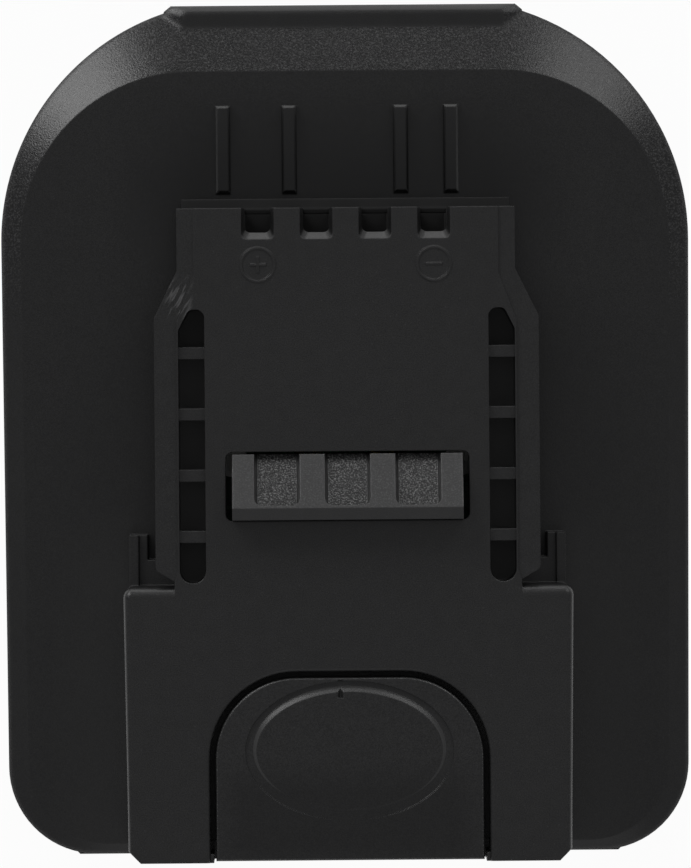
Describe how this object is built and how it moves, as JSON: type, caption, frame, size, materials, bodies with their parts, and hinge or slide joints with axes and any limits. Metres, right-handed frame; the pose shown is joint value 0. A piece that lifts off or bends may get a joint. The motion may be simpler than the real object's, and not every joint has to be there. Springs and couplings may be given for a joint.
{
  "type": "tool battery adapter",
  "caption": "Flat adapter with a slide rail, terminal slots and a sprung release latch on the tool side and a slide-in battery bay behind.",
  "frame": {"origin": "centre of the bounding box on the plane of the rear rest face", "axes": "+Y towards the head end, where the tool's terminals enter; +X to the right seen from the tool side; +Z from the battery side to the tool side"},
  "size_m": [0.08, 0.099, 0.0455],
  "materials": {
    "shell": "finely grained",
    "latch": "finely grained",
    "inner_plastic": "plain moulded",
    "contact_metal": "tinned",
    "screw_steel": "dark zinc",
    "spring_steel": "bright",
    "board": "solder mask",
    "chip": "satin",
    "capacitor": "sleeved can",
    "lead_red": "satin insulation",
    "lead_black": "satin insulation",
    "lead_signal": "satin insulation"
  },
  "bodies": {
    "case": {"battery_blade_data": "contact_metal", "battery_blade_negative": "contact_metal", "battery_blade_positive": "contact_metal", "battery_blade_sense": "contact_metal", "battery_lead_data": "lead_signal", "battery_lead_sense": "lead_signal", "battery_side_shell": "shell", "battery_terminal_block": "inner_plastic", "board_capacitor": "capacitor", "board_chip": "chip", "board_resistors": "chip", "board_screws": "screw_steel", "carrier_screws": "screw_steel", "case_screws": "screw_steel", "circuit_board": "board", "latch_retainer": "inner_plastic", "latch_spring_left": "spring_steel", "latch_spring_right": "spring_steel", "power_lead_negative": "lead_black", "power_lead_positive": "lead_red", "retainer_screws": "screw_steel", "terminal_block_screws": "screw_steel", "terminal_carrier": "inner_plastic", "tool_contact_data": "contact_metal", "tool_contact_negative": "contact_metal", "tool_contact_positive": "contact_metal", "tool_contact_sense": "contact_metal", "tool_lead_data": "lead_signal", "tool_lead_sense": "lead_signal", "tool_side_shell": "shell"},
    "latch": {"release_latch": "latch"}
  },
  "joints": [
    {"name": "latch_press", "type": "slide", "parent": "case", "child": "latch", "axis": [0, 0, -1], "range_m": [0, 0.004], "stiffness_N_per_m": 1500, "springref_m": -0.003, "deforming": ["latch_spring_left", "latch_spring_right"]}
  ]
}
